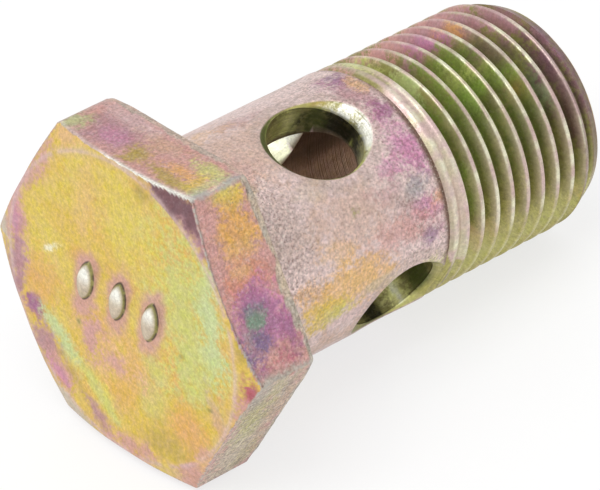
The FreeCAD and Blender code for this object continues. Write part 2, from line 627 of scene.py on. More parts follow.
# Colours of the plating, as they look in plain daylight, and the colours in which the painted highlights,
# reflections and shade are laid
PALETTE = {
    "gold": (0.87, 0.75, 0.38), "yellow": (0.87, 0.80, 0.42), "lime": (0.80, 0.81, 0.50),
    "sea_green": (0.79, 0.83, 0.60), "orange": (0.88, 0.68, 0.42), "peach": (0.90, 0.74, 0.52),
    "rose": (0.82, 0.63, 0.60), "mauve": (0.73, 0.56, 0.58), "violet": (0.66, 0.45, 0.57),
    "magenta": (0.80, 0.54, 0.68), "crimson": (0.72, 0.42, 0.46), "blue_violet": (0.54, 0.45, 0.57),
    "teal": (0.52, 0.60, 0.53), "pink_beige": (0.85, 0.74, 0.73), "shell_pink": (0.88, 0.79, 0.77),
    "beige": (0.80, 0.74, 0.65), "grey": (0.70, 0.67, 0.62), "blue_grey": (0.66, 0.66, 0.66),
    "olive": (0.60, 0.58, 0.36), "green": (0.53, 0.59, 0.29), "dark_green": (0.36, 0.40, 0.18),
    "yellow_olive": (0.74, 0.71, 0.44), "brown": (0.40, 0.29, 0.20), "dark_mauve": (0.50, 0.37, 0.39),
    "cream": (0.95, 0.94, 0.84), "pale_yellow": (0.93, 0.92, 0.72), "old_gold": (0.72, 0.63, 0.34),
    "black_olive": (0.13, 0.13, 0.06), "tan": (0.80, 0.66, 0.56), "grey_pink": (0.74, 0.66, 0.62),
    "dark_brown": (0.30, 0.25, 0.22), "salmon": (0.83, 0.58, 0.50), "white": (0.99, 0.99, 0.95),
    "bright_lime": (0.93, 0.93, 0.62), "fresh_green": (0.60, 0.70, 0.34),
}

# Patches of colour, each as (colour, place, place, half size, half size, strength) and, for some, the
# tilt of the patch in degrees. On the front face the places are towards the side and up from the middle.
FACE_PATCHES = (
    ("yellow", 0, 8.5, 5, 3, 0.6), ("yellow", -5, 3, 4, 6, 0.7), ("peach", 3.6, 7.0, 0.9, 2.8, 0.5, 5),
    ("yellow", 8, 1, 1.2, 3, 0.4), ("old_gold", -2.6, 10.8, 1.0, 0.7, 0.8),
    ("lime", -6.8, 3.6, 3.0, 6.4, 0.8, -12), ("sea_green", -9.3, 4.0, 1.6, 4.4, 1.0, -8),
    ("lime", -7.6, -2.0, 2.0, 2.6, 0.5), ("lime", -7.8, 6.8, 1.2, 2.2, 0.7),
    ("lime", -3.8, -3.4, 1.6, 1.0, 0.6), ("lime", -3.2, -5.8, 1.8, 1.6, 0.5),
    ("peach", 0.4, -4.6, 2.8, 1.7, 0.8), ("peach", 2.0, -4.0, 3.2, 2.6, 0.6),
    ("rose", 3.2, -3.8, 1.0, 2.6, 0.95, 10), ("rose", 4.2, -1.6, 1.2, 1.2, 0.5),
    ("rose", 0.9, -4.8, 2.4, 0.9, 0.8), ("rose", 2.5, -2.9, 1.2, 1.0, 0.7),
    ("orange", 8.2, -1.4, 1.6, 2.0, 0.6), ("orange", -7.2, -6.6, 2.2, 1.6, 0.7),
    ("old_gold", -4.8, -9.0, 2.2, 1.2, 0.6), ("rose", 0.8, -8.6, 0.9, 0.7, 0.3),
    ("rose", 11.0, 2.6, 0.9, 4.6, 1.0), ("magenta", 11.3, 1.4, 0.5, 3.2, 0.7),
    ("mauve", 11.2, -1.6, 0.9, 3.2, 1.0), ("rose", 9.6, 6.6, 0.9, 3.0, 0.9, 38),
    ("violet", 9.6, -4.2, 1.3, 0.9, 1.0, 8), ("sea_green", 6.0, -5.7, 2.6, 0.8, 1.0, 35),
    ("yellow", 2.1, -8.6, 2.9, 1.0, 0.9, 38), ("lime", 1.9, -8.8, 2.4, 0.5, 0.7, 38),
    ("mauve", 8.3, -6.9, 1.5, 1.2, 0.95, 40), ("rose", 6.6, -8.9, 1.9, 1.0, 1.0, 40),
    ("magenta", 6.8, -9.0, 1.6, 0.5, 0.6, 40), ("old_gold", 5.0, -8.5, 2.0, 0.4, 0.5, 40),
    ("mauve", 2.8, -10.2, 2.2, 0.7, 0.9, 34), ("rose", -0.4, -11.0, 2.2, 0.7, 0.9),
    ("pink_beige", 6.6, -10.4, 1.6, 0.6, 0.7, 30), ("rose", -8.8, -8.0, 1.4, 0.6, 0.7, -45),
    ("rose", -10.2, -4.8, 0.6, 2.4, 0.5, -24), ("cream", 7.3, 1.7, 0.9, 0.2, 0.9, -38),
    ("olive", 4.5, -3.2, 0.2, 0.2, 0.9), ("olive", -9.2, -3.8, 0.3, 0.2, 0.9),
    ("olive", -6.4, -0.8, 0.2, 0.25, 0.9),
)
# Round the chamfer and the rim of the face the places are an angle and a distance from the axis.
RIM_PATCHES = (
    ("mauve", 120, 12.6, 22, 1.4, 1.0), ("dark_mauve", 114, 12.8, 13, 1.3, 1.0),
    ("dark_mauve", 124, 13.0, 7, 0.9, 0.8), ("mauve", 135, 12.6, 4, 0.6, 0.7),
    ("beige", 93, 12.2, 6, 0.4, 0.7), ("brown", 138, 12.7, 4, 0.5, 0.5), ("gold", 160, 12.7, 9, 0.9, 0.9),
    ("gold", 169, 12.9, 9, 1.3, 1.0), ("old_gold", 168, 12.6, 4, 0.4, 0.7),
    ("crimson", 183, 13.1, 6, 1.0, 1.0), ("rose", 191, 12.7, 5, 0.9, 0.9),
    ("peach", 63, 12.8, 11, 1.2, 0.9), ("rose", 236, 12.8, 9, 1.3, 0.9),
    ("peach", 222, 12.6, 7, 0.8, 0.6), ("beige", 298, 12.9, 14, 1.2, 1.0),
    ("mauve", 318, 12.6, 6, 0.8, 0.7), ("beige", 2, 13.0, 14, 1.1, 1.0),
    ("mauve", 345, 12.2, 14, 0.6, 0.8), ("rose", 10, 12.2, 9, 0.6, 0.8), ("rose", 30, 12.2, 16, 0.6, 0.9),
    ("rose", 270, 12.0, 14, 0.5, 0.7), ("yellow", 250, 12.3, 7, 0.5, 0.5),
)
# On the flats the places are along the bolt and round from the middle of the flat.
FLAT_PATCHES = {
    90: (
        ("mauve", -3.4, -3, 2.4, 3.4, 0.95), ("magenta", -3.6, -2.8, 0.9, 1.4, 0.5),
        ("pink_beige", -1.2, -3.0, 0.9, 4.4, 0.6), ("olive", -4.0, -6.2, 1.5, 1.2, 0.5),
        ("sea_green", -4.2, -6.2, 1.2, 1.0, 0.6), ("rose", -2.0, -6.6, 0.8, 0.8, 0.5),
        ("old_gold", -4.0, 0.0, 1.2, 1.2, 0.9), ("old_gold", -4.4, 3.4, 0.8, 3.2, 0.9),
        ("orange", -3.2, 4.0, 0.7, 2.8, 0.8), ("mauve", -2.8, 1.8, 0.4, 1.2, 0.5),
        ("tan", -1.9, 1.0, 1.1, 2.4, 0.7), ("lime", -1.7, 5.0, 0.8, 2.0, 0.8),
        ("yellow", -3.4, 5.4, 1.4, 0.5, 0.5), ("blue_grey", -4.4, 6.8, 1.0, 0.4, 0.8),
        ("cream", -3.0, 6.9, 0.7, 0.25, 0.5), ("blue_grey", -1.2, 6.9, 0.8, 0.4, 0.8),
        ("sea_green", -3.4, 6.3, 1.6, 0.3, 0.6),
    ),
    150: (
        ("gold", -2.1, -5.8, 1.3, 1.2, 1.0), ("yellow", -2.6, -6.4, 1.4, 0.4, 0.8),
        ("orange", -2.8, -3.4, 1.9, 2.2, 1.0), ("rose", -4.5, -5.6, 0.6, 1.8, 0.95),
        ("peach", -2.6, -2.3, 1.6, 0.8, 0.6), ("salmon", -3.2, -0.2, 2.1, 1.6, 0.95),
        ("peach", -3.4, -1.0, 0.8, 0.5, 0.6), ("magenta", -2.8, 3.1, 2.6, 2.4, 1.0),
        ("violet", -3.3, 3.5, 1.9, 2.3, 0.8), ("blue_violet", -3.7, 4.1, 1.4, 1.1, 1.0),
        ("teal", -3.5, 2.5, 0.75, 0.8, 1.0), ("blue_violet", -3.4, 1.6, 1.0, 0.3, 0.5),
        ("violet", -1.4, 4.4, 0.6, 2.0, 0.8), ("crimson", -2.6, 5.6, 1.2, 0.7, 0.7),
        ("magenta", -2.4, 4.2, 0.6, 1.0, 0.6), ("grey", -3.0, 6.9, 2.6, 0.5, 0.9),
        ("blue_grey", -2.8, -6.95, 2.4, 0.3, 0.7), ("grey_pink", -4.8, 3.4, 0.3, 0.9, 0.4),
        ("crimson", -2.2, 4.9, 0.7, 0.8, 0.5),
    ),
    210: (
        ("beige", -3, 0, 3, 8, 1.0), ("yellow_olive", -3.6, -2.4, 1.4, 3.0, 0.6),
        ("lime", -3.4, 0.4, 1.2, 2.2, 0.25), ("tan", -1.3, -1, 0.8, 4, 0.5),
        ("grey", -4.6, -5.4, 0.7, 1.6, 0.7), ("yellow_olive", -1.4, 4.6, 0.9, 1.8, 0.35),
        ("dark_brown", -1.9, 5.6, 0.12, 1.2, 0.5), ("dark_brown", -1.8, -4.6, 0.12, 0.9, 0.4),
    ),
    270: (
        ("mauve", -3, -2, 2.5, 4, 0.8), ("gold", -3, 4, 2.0, 2.6, 0.8), ("rose", -2, 1, 1.4, 2.0, 0.6),
    ),
    330: (
        ("orange", -3, 3, 2.2, 3, 0.8), ("lime", -3, -3, 1.8, 2.4, 0.7),
        ("rose", -3, -0.5, 2.0, 1.6, 0.8),
    ),
    30: (
        ("gold", -3, 0, 2.5, 4, 0.8), ("violet", -3, 4.5, 1.8, 1.6, 0.7),
        ("rose", -3, -4.5, 2.0, 2.0, 0.8),
    ),
}
# On the shank and the thread the places are along the bolt and an angle about it.
SHANK_PATCHES = (
    ("pink_beige", 14.0, 160, 4.0, 20, 0.6), ("pink_beige", 10.0, 196, 6.0, 8, 0.7),
    ("tan", 4.0, 94, 4.4, 26, 0.5), ("beige", 1.0, 110, 1.2, 70, 0.5), ("grey_pink", 3.4, 143, 2.0, 18, 0.5),
    ("sea_green", 2.2, 118, 0.7, 7, 0.4), ("tan", 9.5, 150, 4.0, 16, 0.45),
    ("mauve", 15.6, 96, 1.8, 18, 0.8), ("violet", 15.7, 81, 1.3, 8, 0.9),
    ("blue_violet", 15.9, 78, 0.6, 4, 0.6), ("peach", 16.8, 90, 0.8, 8, 0.7),
    ("mauve", 7.0, 75, 2.2, 5, 0.4), ("magenta", 15.5, 127, 1.8, 20, 0.65),
    ("magenta", 16.0, 133, 1.2, 11, 0.7), ("magenta", 13.9, 136, 1.4, 6, 0.5),
    ("violet", 16.2, 111, 0.9, 7, 0.8), ("mauve", 14.0, 154, 1.0, 4, 0.5),
    ("mauve", 12.6, 146, 1.8, 6, 0.4), ("blue_grey", 15.0, 149, 1.3, 6, 0.7),
    ("grey_pink", 13.4, 152, 1.0, 5, 0.5), ("magenta", 15.6, 160, 1.3, 6, 0.75),
    ("orange", 16.6, 158, 0.5, 3, 0.5), ("violet", 15.5, 173, 1.1, 5, 0.5),
    ("mauve", 14.4, 164, 1.2, 6, 0.5), ("rose", 12.6, 166, 3.0, 8, 0.6),
    ("blue_violet", 15.4, 174, 0.7, 4, 0.5), ("peach", 6.8, 160, 1.6, 6, 0.45),
    ("tan", 9.6, 174, 2.2, 6, 0.6), ("peach", 7.4, 176, 2.6, 7, 0.6), ("peach", 6.8, 180, 4.6, 12, 0.8),
    ("gold", 5.2, 187, 2.6, 8, 0.9), ("gold", 4.8, 191, 2.0, 6, 0.7), ("orange", 4.2, 172, 1.8, 6, 0.45),
    ("lime", 6.2, 190, 1.8, 5, 0.5), ("beige", 10.8, 186, 1.8, 3, 0.7),
    ("olive", 9.5, 147, 0.25, 2.4, 0.8), ("beige", 6.8, 130, 1.4, 4, 0.4),
    ("tan", 8.4, 210, 3.4, 10, 0.7), ("lime", 15.9, 196, 1.6, 9, 0.7), ("rose", 2.8, 106, 1.6, 10, 0.3),
    ("peach", 3.6, 74, 2.6, 6, 0.4), ("gold", 6, 260, 4, 20, 0.6), ("rose", 10, 300, 4, 24, 0.7),
    ("mauve", 4, 340, 3, 20, 0.6), ("lime", 14, 20, 3, 16, 0.6), ("violet", 13, 250, 2, 14, 0.5),
)
THREAD_PATCHES = (
    ("green", 22, 130, 5, 36, 0.5), ("rose", 25, 66, 8, 18, 1.0), ("mauve", 28, 84, 2.6, 12, 0.8),
    ("mauve", 27, 72, 4, 12, 0.7), ("magenta", 24.8, 84, 1.8, 7, 0.9), ("magenta", 22.6, 88, 0.9, 6, 0.8),
    ("magenta", 21.4, 92, 0.7, 5, 0.6), ("orange", 27.0, 80, 0.8, 8, 0.8),
    ("green", 24.0, 116, 5.0, 22, 1.0), ("lime", 23.2, 112, 1.0, 8, 0.45),
    ("lime", 25.4, 112, 0.8, 6, 0.45), ("brown", 25.7, 123, 0.9, 7, 0.6),
    ("orange", 27.2, 128, 0.6, 7, 0.5), ("dark_green", 22.0, 140, 3.0, 18, 0.3),
    ("green", 19.7, 165, 0.8, 12, 0.9), ("fresh_green", 19.9, 170, 0.7, 12, 0.8),
    ("fresh_green", 19.0, 78, 0.6, 22, 0.8), ("fresh_green", 23.6, 122, 1.4, 7, 0.6),
    ("fresh_green", 26.6, 122, 1.2, 8, 0.6), ("green", 27.6, 134, 1.4, 12, 0.5),
    ("brown", 25.0, 129, 0.8, 6, 0.5), ("orange", 26.8, 131, 0.6, 6, 0.5),
    ("olive", 20.4, 172, 2.6, 12, 0.5), ("dark_mauve", 27.8, 106, 1.6, 10, 0.6),
    ("teal", 29.0, 136, 1.0, 12, 0.5), ("dark_green", 27.4, 148, 2.4, 18, 0.5),
    ("dark_mauve", 31.2, 128, 1.8, 36, 1.0), ("violet", 31.6, 118, 0.8, 10, 0.3),
    ("mauve", 30.4, 86, 1.8, 18, 0.8), ("brown", 30.0, 158, 1.4, 16, 0.5),
    ("yellow_olive", 25, 218, 9, 30, 1.0), ("lime", 28.5, 206, 3, 9, 0.7), ("lime", 22.5, 210, 4, 9, 0.5),
    ("rose", 21.0, 194, 1.2, 6, 0.4), ("orange", 30.6, 198, 0.8, 5, 0.5),
    ("lime", 19.1, 76, 0.8, 22, 1.0), ("green", 19.2, 70, 0.5, 14, 0.6),
    ("sea_green", 19.9, 102, 0.7, 12, 0.7), ("beige", 18.6, 160, 0.8, 24, 0.8),
    ("mauve", 25, 300, 8, 40, 0.7), ("green", 26, 10, 6, 30, 0.6),
)
# In a cross drilling the places are a distance along it and an angle about it, from the side
# of the thread. Besides the plating's colours, these tables lay painted shade in black_olive on the
# walls, and painted highlights and reflections in white and bright_lime, with a thin lime glint.
WALL_PATCHES = {
    "near_cross_drilling": (
        ("green", 6.0, 230, 2.4, 34, 0.8), ("bright_lime", 6.8, 276, 2.2, 20, 0.8),
        ("lime", 6.4, 262, 2.0, 14, 0.9), ("black_olive", 6.2, 350, 3.0, 50, 1.0),
        ("dark_green", 6.4, 316, 2.4, 12, 0.7), ("lime", 6.5, 6, 0.15, 3, 0.9),
    ),
    "far_cross_drilling": (
        ("dark_green", 7.0, 12, 2.6, 26, 1.0), ("black_olive", 7.2, 92, 2.0, 14, 0.95),
        ("bright_lime", 7.4, 53, 2.0, 17, 1.0), ("white", 7.3, 51, 1.4, 5, 0.6),
        ("white", -6.8, 180, 2.6, 400, 1.0), ("bright_lime", -6.4, 70, 2.2, 30, 0.4),
    ),
}
SINK_PATCHES = {
    "near_cross_drilling": (
        ("dark_green", 8.4, 200, 1.4, 66, 0.9), ("yellow_olive", 8.8, 300, 1.4, 32, 1.0),
        ("old_gold", 8.6, 314, 0.5, 9, 0.7), ("white", 8.8, 16, 2.0, 40, 1.0),
        ("lime", 8.4, 66, 1.2, 20, 0.9), ("grey", 8.4, 54, 0.4, 6, 0.6),
        ("olive", 8.4, 110, 0.8, 22, 0.8),
    ),
    "far_cross_drilling": (
        ("yellow_olive", 8.6, 30, 1.6, 60, 1.0), ("lime", 8.5, 50, 0.6, 22, 0.5),
        ("olive", 8.4, 180, 1.0, 60, 0.8), ("dark_green", 8.2, 96, 0.8, 16, 0.7),
    ),
}


def linear(name):
    """One of the palette's colours as the light that it reflects, by the curve of sRGB."""
    value = np.array(PALETTE[name])
    return np.where(value < 0.04045, value / 12.92, ((value + 0.055) / 1.055) ** 2.4)


class Paint:
    """Two layers of colour over the points, and how worn, pitted and tooled each point is.

    Patches reach further on the second layer, so that a fine mixture of the two breaks their edges up
    into specks.
    """

    def __init__(self, points, name):
        count = len(points)
        self.points = points
        self.x, self.y, self.z = points.T
        self.radius = np.hypot(self.y, self.z)
        self.angle = np.arctan2(self.z, self.y)
        self.degrees = np.degrees(self.angle) % 360
        self.rough = cloud(points, 1.1, seed=61)
        self.fine = cloud(points, 0.35, seed=67)
        self.layers = [np.tile(linear(name), (count, 1)) for _ in range(2)]
        self.worn = np.zeros(count)
        self.pitted = np.full(count, 0.12)
        self.tooled = np.zeros(count)
        self.grain = self.x.copy()

    def blend(self, mask, name):
        """Lays a colour over both layers by a mask from 0 to 1."""
        for layer in self.layers:
            layer += (linear(name) - layer) * np.clip(np.asarray(mask, float), 0, 1)[:, None]

    def patches(self, mask, first, second, table, seed, turn=None):
        """Lays each patch of a table over both layers, with ragged outlines."""
        use = np.flatnonzero(mask)
        points, first, second = self.points[use], first[use], second[use]
        wander = 1.5 * (cloud(points, 2.6, seed) - 0.5) + 1.3 * (cloud(points, 0.8, seed + 7) - 0.5)
        for name, u, v, half_u, half_v, strength, *tilt in table:
            off_u, off_v = first - u, second - v
            if turn:
                off_v = (off_v + turn / 2) % turn - turn / 2
            if tilt:
                lean = math.radians(tilt[0])
                leaning_u = off_u * math.cos(lean) + off_v * math.sin(lean)
                off_v = off_v * math.cos(lean) - off_u * math.sin(lean)
                off_u = leaning_u
            distance = np.hypot(off_u / half_u, off_v / half_v) + wander
            for layer, near, far in zip(self.layers, (0.35, 0.75), (1.05, 1.5)):
                share = strength * (1 - smooth(near, far, distance))
                layer[use] += (linear(name) - layer[use]) * share[:, None]


def line_at(value, place, width):
    """A soft line of the given half width, 1 in its middle."""
    return np.exp(-((value - place) / width) ** 2)


# In the functions that paint, plain numbers are places and widths in millimetres or degrees, the two
# ends of a soft change, and strengths from 0 to 1.
def head_parts(paint):
    """Which points are on the flats of the head, and which on its front face and chamfer."""
    x, radius = paint.x, paint.radius
    head = (x < -0.01) & (radius > SHANK_RADIUS + 0.1) | (x < -HEAD_HEIGHT + 0.4)
    off_cone = np.abs(x + HEAD_HEIGHT - (radius - FACE_RADIUS) * CHAMFER_SLOPE) > 0.05
    to_flat = hexagon_radius(paint.angle) - radius
    flats = head & (to_flat < 0.35) & (x > -HEAD_HEIGHT + 0.1) & (off_cone | (to_flat < 0.04))
    return flats, head & ~flats


def paint_face(paint, face):
    """The front face with its chamfer: gold, mottled, with iridescent patches and a pink rim."""
    paint.blend(face, "gold")
    mottle = cloud(paint.points, 2.4, seed=103)
    paint.blend(0.5 * face * smooth(0.52, 0.66, mottle), "orange")
    paint.blend(0.4 * face * smooth(0.46, 0.34, mottle), "yellow")
    paint.patches(face, paint.y, paint.z, FACE_PATCHES, seed=71)
    chamfer = face & (paint.radius > FACE_RADIUS - 0.35)
    paint.patches(chamfer, paint.degrees, paint.radius, RIM_PATCHES, seed=73)
    broken = smooth(0.35, 0.6, paint.rough + 0.15 * paint.fine)
    paint.blend(0.6 * face * line_at(paint.radius, FACE_RADIUS - 0.1, 0.22) * broken, "pink_beige")


def pad_reach(y, z):
    """How far out each point of the face is from the nearest pad's middle, 1 being the pad's outline."""
    reach = np.full(len(y), np.inf)
    for side, up in PAD_PLACES:
        length = (z - up) * math.cos(PAD_TILT) - (y - side) * math.sin(PAD_TILT)
        width = (y - side) * math.cos(PAD_TILT) + (z - up) * math.sin(PAD_TILT)
        reach = np.minimum(reach, np.hypot(length / (PAD_LENGTH / 2), width / (PAD_WIDTH / 2)))
    return reach


def paint_pads(paint, face):
    """The pads, beige where they are rubbed, with a painted highlight on their upper ends, painted shade
    at the root and a pink ring round them.
    """
    reach = pad_reach(paint.y, paint.z) + 1.2 * (paint.rough - 0.5) + 0.5 * (paint.fine - 0.5)
    around = face & (paint.radius < FACE_RADIUS - 2)
    paint.blend(0.85 * around * smooth(2.1, 1.3, reach), "rose")
    pad = paint.x < -HEAD_HEIGHT - 0.015
    rise = (-HEAD_HEIGHT - paint.x) / PAD_HEIGHT
    paint.blend(pad, "olive")
    # Painted shade round the root of each pad.
    paint.blend(pad * smooth(0.5, 0.2, rise) * smooth(0.35, 0.5, paint.fine), "dark_brown")
    paint.blend(pad * smooth(0.45, 0.8, rise), "beige")
    # Painted highlight on the upper end of each pad's crown.
    paint.blend(pad * smooth(0.6, 0.95, rise) * smooth(0.2, 1.6, paint.z), "white")


def paint_flats(paint, flats):
    """The six flats with their patches, the ragged strip at the back and the wear of the edges, with a
    painted highlight along the front edge of the top flat and painted shade along that of the right flat.
    """
    x, y, z, degrees, fine, rough = paint.x, paint.y, paint.z, paint.degrees, paint.fine, paint.rough
    sector = np.round((degrees - 30) / 60) % 6
    for normal, table in FLAT_PATCHES.items():
        side = flats & (sector == round((normal - 30) / 60) % 6)
        turn = math.radians(normal)
        paint.blend(side, "rose")
        paint.patches(side, x, z * math.cos(turn) - y * math.sin(turn), table, seed=79 + normal)
    top_flat = flats & (sector == 1)
    right_flat = flats & (sector == 2)

    start = strip_start(paint.points)
    strip = flats * smooth(-0.12, 0.06, x - start) * np.where(top_flat, 0.55, 0.9)
    paint.blend(strip, "beige")
    paint.blend(strip * smooth(0.4, 0.6, rough), "grey")
    paint.blend(0.45 * (flats & ~top_flat) * line_at(x, start, 0.07) * smooth(0.45, 0.6, fine), "dark_brown")
    paint.pitted = np.where(flats, 0.44 + 0.3 * strip + 0.45 * smooth(2, -3, z), paint.pitted)

    to_corner = np.abs((degrees + 30) % 60 - 30) * math.radians(1) * CORNER_RADIUS
    to_front = x + HEAD_HEIGHT - (hexagon_radius(paint.angle) - FACE_RADIUS) * CHAMFER_SLOPE
    edges = flats * np.maximum(0.75 * line_at(to_corner, 0, 0.28), line_at(to_front, 0, 0.16))
    paint.worn = edges * smooth(0.35, 0.6, 0.5 * fine + 0.5 * rough + 0.1)
    # Painted highlight along the front edge of the top flat.
    paint.blend(top_flat * line_at(to_front, 0.05, 0.25) * (0.3 + 0.7 * smooth(3, 0, y)), "white")
    paint.worn = np.where(top_flat & (to_corner > 0.5), 0.2 * paint.worn, paint.worn)
    # Painted shade along the front edge of the right flat.
    paint.blend(0.6 * right_flat * line_at(to_front, 0.12, 0.07), "dark_brown")
    paint.blend((np.abs(x) < 0.03) & (paint.radius > SHANK_RADIUS + 0.2), "beige")


def paint_shank(paint):
    """The shank and the neck, pink with coloured patches, with painted shade over the neck on the side in
    view and in the corners at both ends of the neck, and a greyish band just past the fillet under the
    head.
    """
    x, degrees = paint.x, paint.degrees
    stem = (x > -0.01) & (paint.radius > NECK_RADIUS - 0.1) & (x < NECK_END)
    paint.blend(stem, "shell_pink")
    paint.patches(stem, x, degrees, SHANK_PATCHES, seed=83, turn=360)
    flecked = smooth(6.5, 3.2, x + 2.5 * (paint.rough - 0.5)) * smooth(44, 22, np.abs(degrees - 142))
    paint.pitted = np.where(stem, 0.4 + 0.4 * flecked + 0.25 * smooth(12, 14, x), paint.pitted)
    neck = stem & (x > SHANK_END - 0.05)
    paint.blend(0.7 * neck, "pink_beige")
    # Painted shade over the neck on the side in view.
    paint.blend(0.8 * neck * towards_viewer(degrees), "brown")
    # Painted shade in the corners at both ends of the neck.
    corners = np.maximum(line_at(x, SHANK_END + 0.08, 0.09), line_at(x, NECK_END, 0.08))
    paint.blend(0.85 * stem * corners, "brown")
    # A greyish band round the shank just past the fillet under the head.
    paint.blend(0.6 * stem * line_at(x, 0.35, 0.25), "grey_pink")


def towards_viewer(degrees):
    """1 on the side of the neck that the photograph shows, fading out to 0 round the bolt."""
    return smooth(98, 120, degrees) * smooth(200, 190, degrees)


def paint_thread(paint):
    """The thread: greens and pinks in the grooves with painted shade at their roots, pale flanks below,
    and rubbed crests with a painted highlight along them.
    """
    x, degrees, fine, rough = paint.x, paint.degrees, paint.fine, paint.rough
    thread = (x >= NECK_END - 0.01) & (paint.radius > THREAD_RADIUS - THREAD_DEPTH - 0.15)
    height = np.clip((paint.radius - THREAD_RADIUS + THREAD_DEPTH) / THREAD_DEPTH, 0, 1)
    paint.blend(thread, "olive")
    paint.patches(thread, x, degrees, THREAD_PATCHES, seed=89, turn=360)
    below = smooth(182, 198, degrees) * smooth(300, 270, degrees)
    # Painted shade where the thread rises from the neck, on the side in view.
    paint.blend(0.8 * thread * line_at(x, NECK_END + 0.1, 0.14) * towards_viewer(degrees), "brown")
    # Painted shade in the roots of the grooves, over their green.
    paint.blend(thread * (0.4 - 0.3 * below) * smooth(0.45, 0.0, height), "dark_green")
    paint.blend(0.5 * thread * below, "yellow_olive")
    paint.blend(0.45 * thread * below * smooth(0.9, 0.3, height), "pale_yellow")
    paint_first_turn(paint, thread)
    side = smooth(116, 160, degrees + 30 * (rough - 0.5)) * (1 - below)
    paint.blend(0.6 * thread * smooth(0.42, 0.75, height) * side, "beige")

    # Crests, rubbed and with a painted highlight along them, weaker underneath.
    crest = 0.8 * thread * smooth(0.88, 0.97, height + 0.06 * (fine - 0.5)) * (1 - 0.75 * below)
    crest = crest * (0.45 + 0.55 * smooth(76, 100, degrees))
    yellowish = smooth(0.3, 0.7, rough)
    paint.blend(crest * yellowish, "cream")
    paint.blend(crest * (1 - yellowish), "pink_beige")
    on_lead = (x > LENGTH - LEAD_LENGTH) & (np.abs(paint.radius - lead_radius(x)) < 0.05)
    paint.blend(0.5 * (thread & on_lead), "dark_mauve")


def paint_first_turn(paint, thread):
    """The band in front of the first crest, pink and sea green where the photograph shows it."""
    x, degrees, rough = paint.x, paint.degrees, paint.rough
    turns_back = round((CREST_AT_TOP - NECK_END - PITCH / 2) / PITCH)
    first_crest = CREST_AT_TOP - PITCH * turns_back + PITCH * (degrees - 90) / 360
    band = thread & (x < first_crest + 0.35) & (degrees > 40) & (degrees < 200)
    paint.blend(0.85 * band * smooth(90, 104, degrees + 20 * (rough - 0.5)), "pink_beige")
    paint.blend(0.5 * band * smooth(112, 124, degrees) * smooth(0.4, 0.6, rough), "sea_green")


def paint_end_and_bore(paint):
    """The end face and the oil bore, which is brown with painted shade at its top, and chamfered at its
    mouth.
    """
    x, radius, rough = paint.x, paint.radius, paint.rough
    end = (x > LENGTH - 0.01) & (radius < THREAD_RADIUS - LEAD_DEPTH + 0.02)
    paint.blend(end, "old_gold")
    paint.blend(end * smooth(0.4, 0.6, rough), "rose")
    in_bore = radius < BORE_RADIUS + 0.015
    bore = in_bore & (x > -HEAD_HEIGHT + 1)
    paint.blend(bore, "tan")
    paint.blend(0.5 * bore * smooth(0.4, 0.7, rough), "brown")
    # Painted shade over the upper side of the bore.
    above_side = (paint.degrees + 180) % 360 - 180
    paint.blend(0.6 * bore * smooth(-18, 10, above_side + 14 * (rough - 0.5)), "black_olive")
    paint.tooled = np.where(bore, 1.0, paint.tooled)
    mouth = ~in_bore & (radius < BORE_RADIUS + MOUTH_CHAMFER + 0.02) & (x > LENGTH - 0.6)
    paint.blend(mouth, "pale_yellow")


def paint_drilling(paint, label):
    """One cross drilling with its countersinks and the dull lip round each mouth, and the painted shade,
    highlights and reflections of its patch tables.
    """
    centre, up, across = drilling_frame(mounts[label])
    level = paint.points @ up
    ahead, aside = paint.x - centre, paint.points @ across
    about = np.degrees(np.arctan2(aside, ahead)) % 360
    distance = np.hypot(ahead, aside)
    inside = (paint.radius < SHANK_RADIUS - 0.05) & (paint.radius > BORE_RADIUS + 0.02)
    wall = inside & (distance < CROSS_RADIUS + 0.03)
    sink = inside & ~wall & (distance < SINK_RADIUS + 0.3)
    lip = (paint.radius > SHANK_RADIUS - 0.1) & (distance < SINK_RADIUS + 0.35)
    drilled = wall | sink
    paint.blend(drilled, "olive")
    paint.patches(wall, level, about, WALL_PATCHES[label], seed=97, turn=360)
    paint.patches(sink, level, about, SINK_PATCHES[label], seed=101, turn=360)
    paint.blend(0.6 * lip * smooth(0.3, 0.6, paint.fine), "grey_pink")
    smoothed = np.maximum(line_at(about, 52, 18), level < 0)
    paint.tooled = np.where(drilled, 1.0 - 0.75 * smoothed, paint.tooled)
    paint.pitted = np.where(drilled, 0.1, paint.pitted)
    paint.grain = np.where(drilled, level, paint.grain)


def painted(points):
    """The plating's colours and marks over the points of the bolt."""
    paint = Paint(points, "pink_beige")
    flats, face = head_parts(paint)
    paint_face(paint, face)
    paint_pads(paint, face)
    paint_flats(paint, flats)
    paint_shank(paint)
    paint_thread(paint)
    paint_end_and_bore(paint)
    for label in WALL_PATCHES:
        paint_drilling(paint, label)
    return paint


def store_paint(obj):
    """Puts the paint on the object's points, where its material finds it."""
    mesh = obj.data
    co = np.empty(len(mesh.vertices) * 3)
    mesh.vertices.foreach_get("co", co)
    paint = painted(from_frame(co.reshape(-1, 3)))
    ones = np.ones((len(mesh.vertices), 1))
    state = np.stack([paint.worn, paint.pitted, paint.tooled], axis=-1)
    for name, values in (("paint", paint.layers[0]), ("over_paint", paint.layers[1]), ("state", state)):
        colours = mesh.color_attributes.new(name, "FLOAT_COLOR", "POINT")
        colours.data.foreach_set("color", np.hstack([np.clip(values, 0, 1), ones]).ravel())
    lines = mesh.attributes.new("grain", "FLOAT", "POINT")
    lines.data.foreach_set("value", paint.grain)


store_paint(bolt)


def node(tree, kind, **values):
    """A new shader node with its sockets or settings given by name."""
    new = tree.nodes.new(kind)
    for name, value in values.items():
        socket = new.inputs.get(name.replace("_", " ").title()) or new.inputs.get(name)
        if socket is not None:
            socket.default_value = value
        else:
            setattr(new, name, value)
    return new


